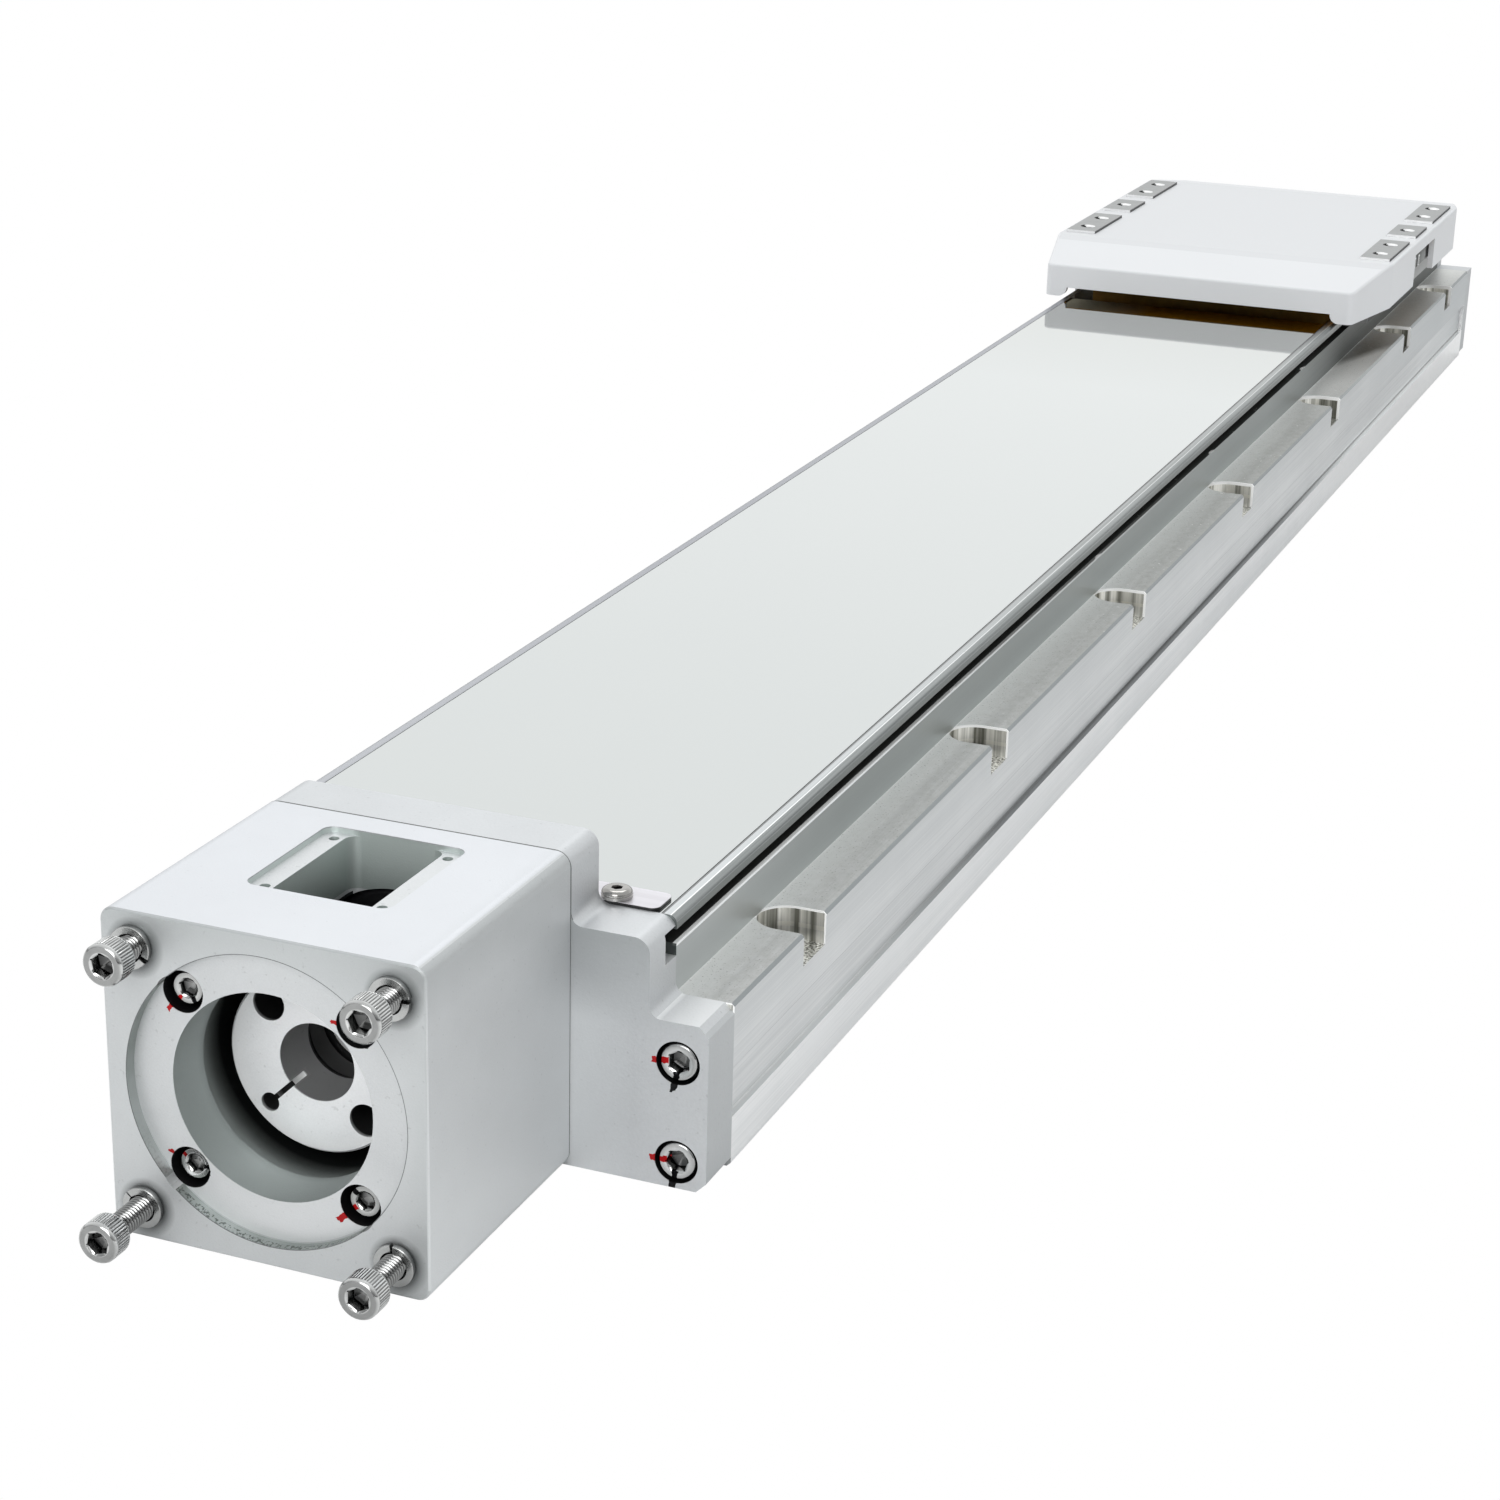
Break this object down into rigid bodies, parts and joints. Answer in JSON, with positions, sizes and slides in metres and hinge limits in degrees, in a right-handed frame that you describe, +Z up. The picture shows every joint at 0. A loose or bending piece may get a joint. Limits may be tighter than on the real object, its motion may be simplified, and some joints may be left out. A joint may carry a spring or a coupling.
{
  "type": "enclosed linear module",
  "caption": "Enclosed screw-driven linear module: notched aluminium base, bright cover strip, white carriage with raised pads and a square motor housing.",
  "frame": {"origin": "on the flat underside, on the centreline, between the first pair of mounting holes", "axes": "+Y along the travel, away from the motor end; +Z up, out of the carriage's pads; +X across"},
  "size_m": [0.15, 1.0704, 0.083],
  "materials": {
    "blasted_aluminium": "fine blasted, clear anodised",
    "brushed_aluminium": "machined or lightly brushed, clear anodised",
    "mirror_strip": "bright rolled stainless strip",
    "stainless_steel": "shiny stainless",
    "ground_steel": "ground",
    "black_oxide_steel": "black oxide",
    "white_plastic": "satin white",
    "black_rubber": "matt",
    "grey_felt": "felt"
  },
  "bodies": {
    "frame": {"base_extrusion": "blasted_aluminium", "motor_housing": "blasted_aluminium", "drive_end_block": "blasted_aluminium", "rear_end_block": "blasted_aluminium", "top_cover": "brushed_aluminium", "cover_strip": "mirror_strip", "strip_clamp_front": "brushed_aluminium", "strip_clamp_rear": "brushed_aluminium", "strip_clamp_washers": "stainless_steel", "strip_clamp_screws": "stainless_steel", "motor_screws": "stainless_steel", "motor_spring_washers": "stainless_steel", "housing_screws": "black_oxide_steel", "end_block_screws_front": "stainless_steel", "end_block_screws_rear": "stainless_steel", "rail_left": "ground_steel", "rail_right": "ground_steel", "rail_screws": "black_oxide_steel", "bearing_cartridge": "black_oxide_steel", "front_bearing_outer": "ground_steel", "second_bearing_outer": "ground_steel", "tail_bearing_outer": "ground_steel", "bearing_retainer": "black_oxide_steel", "stops_front": "black_rubber", "stops_rear": "black_rubber"},
    "screw": {"ball_screw": "ground_steel", "front_bearing_inner": "ground_steel", "second_bearing_inner": "ground_steel", "tail_bearing_inner": "ground_steel", "lock_nut": "black_oxide_steel", "coupling_hub_motor": "brushed_aluminium", "coupling_centre": "brushed_aluminium", "coupling_hub_screw": "brushed_aluminium", "coupling_disc_front": "stainless_steel", "coupling_disc_rear": "stainless_steel", "coupling_spacers": "stainless_steel", "coupling_bolts": "black_oxide_steel"},
    "carriage": {"inner_slider": "brushed_aluminium", "ball_nut": "ground_steel", "nut_screws": "black_oxide_steel", "guide_block_front_left": "ground_steel", "guide_block_front_right": "ground_steel", "guide_block_rear_left": "ground_steel", "guide_block_rear_right": "ground_steel", "carriage_table": "brushed_aluminium", "wing_screws": "black_oxide_steel", "carriage_cover": "white_plastic", "wiper_front": "grey_felt", "wiper_rear": "grey_felt"}
  },
  "joints": [
    {"name": "carriage_slide", "type": "slide", "parent": "frame", "child": "carriage", "axis": [0, -1, 0], "range_m": [0, 0.7]},
    {"name": "screw_spin", "type": "hinge", "parent": "frame", "child": "screw", "pos_m": [0, 0, 0.04], "axis": [0, 1, 0], "range_deg": [-10, 25210]}
  ],
  "couplings": [
    {"joint": "screw_spin", "follows": "carriage_slide", "rad_per_m": 628.32}
  ]
}
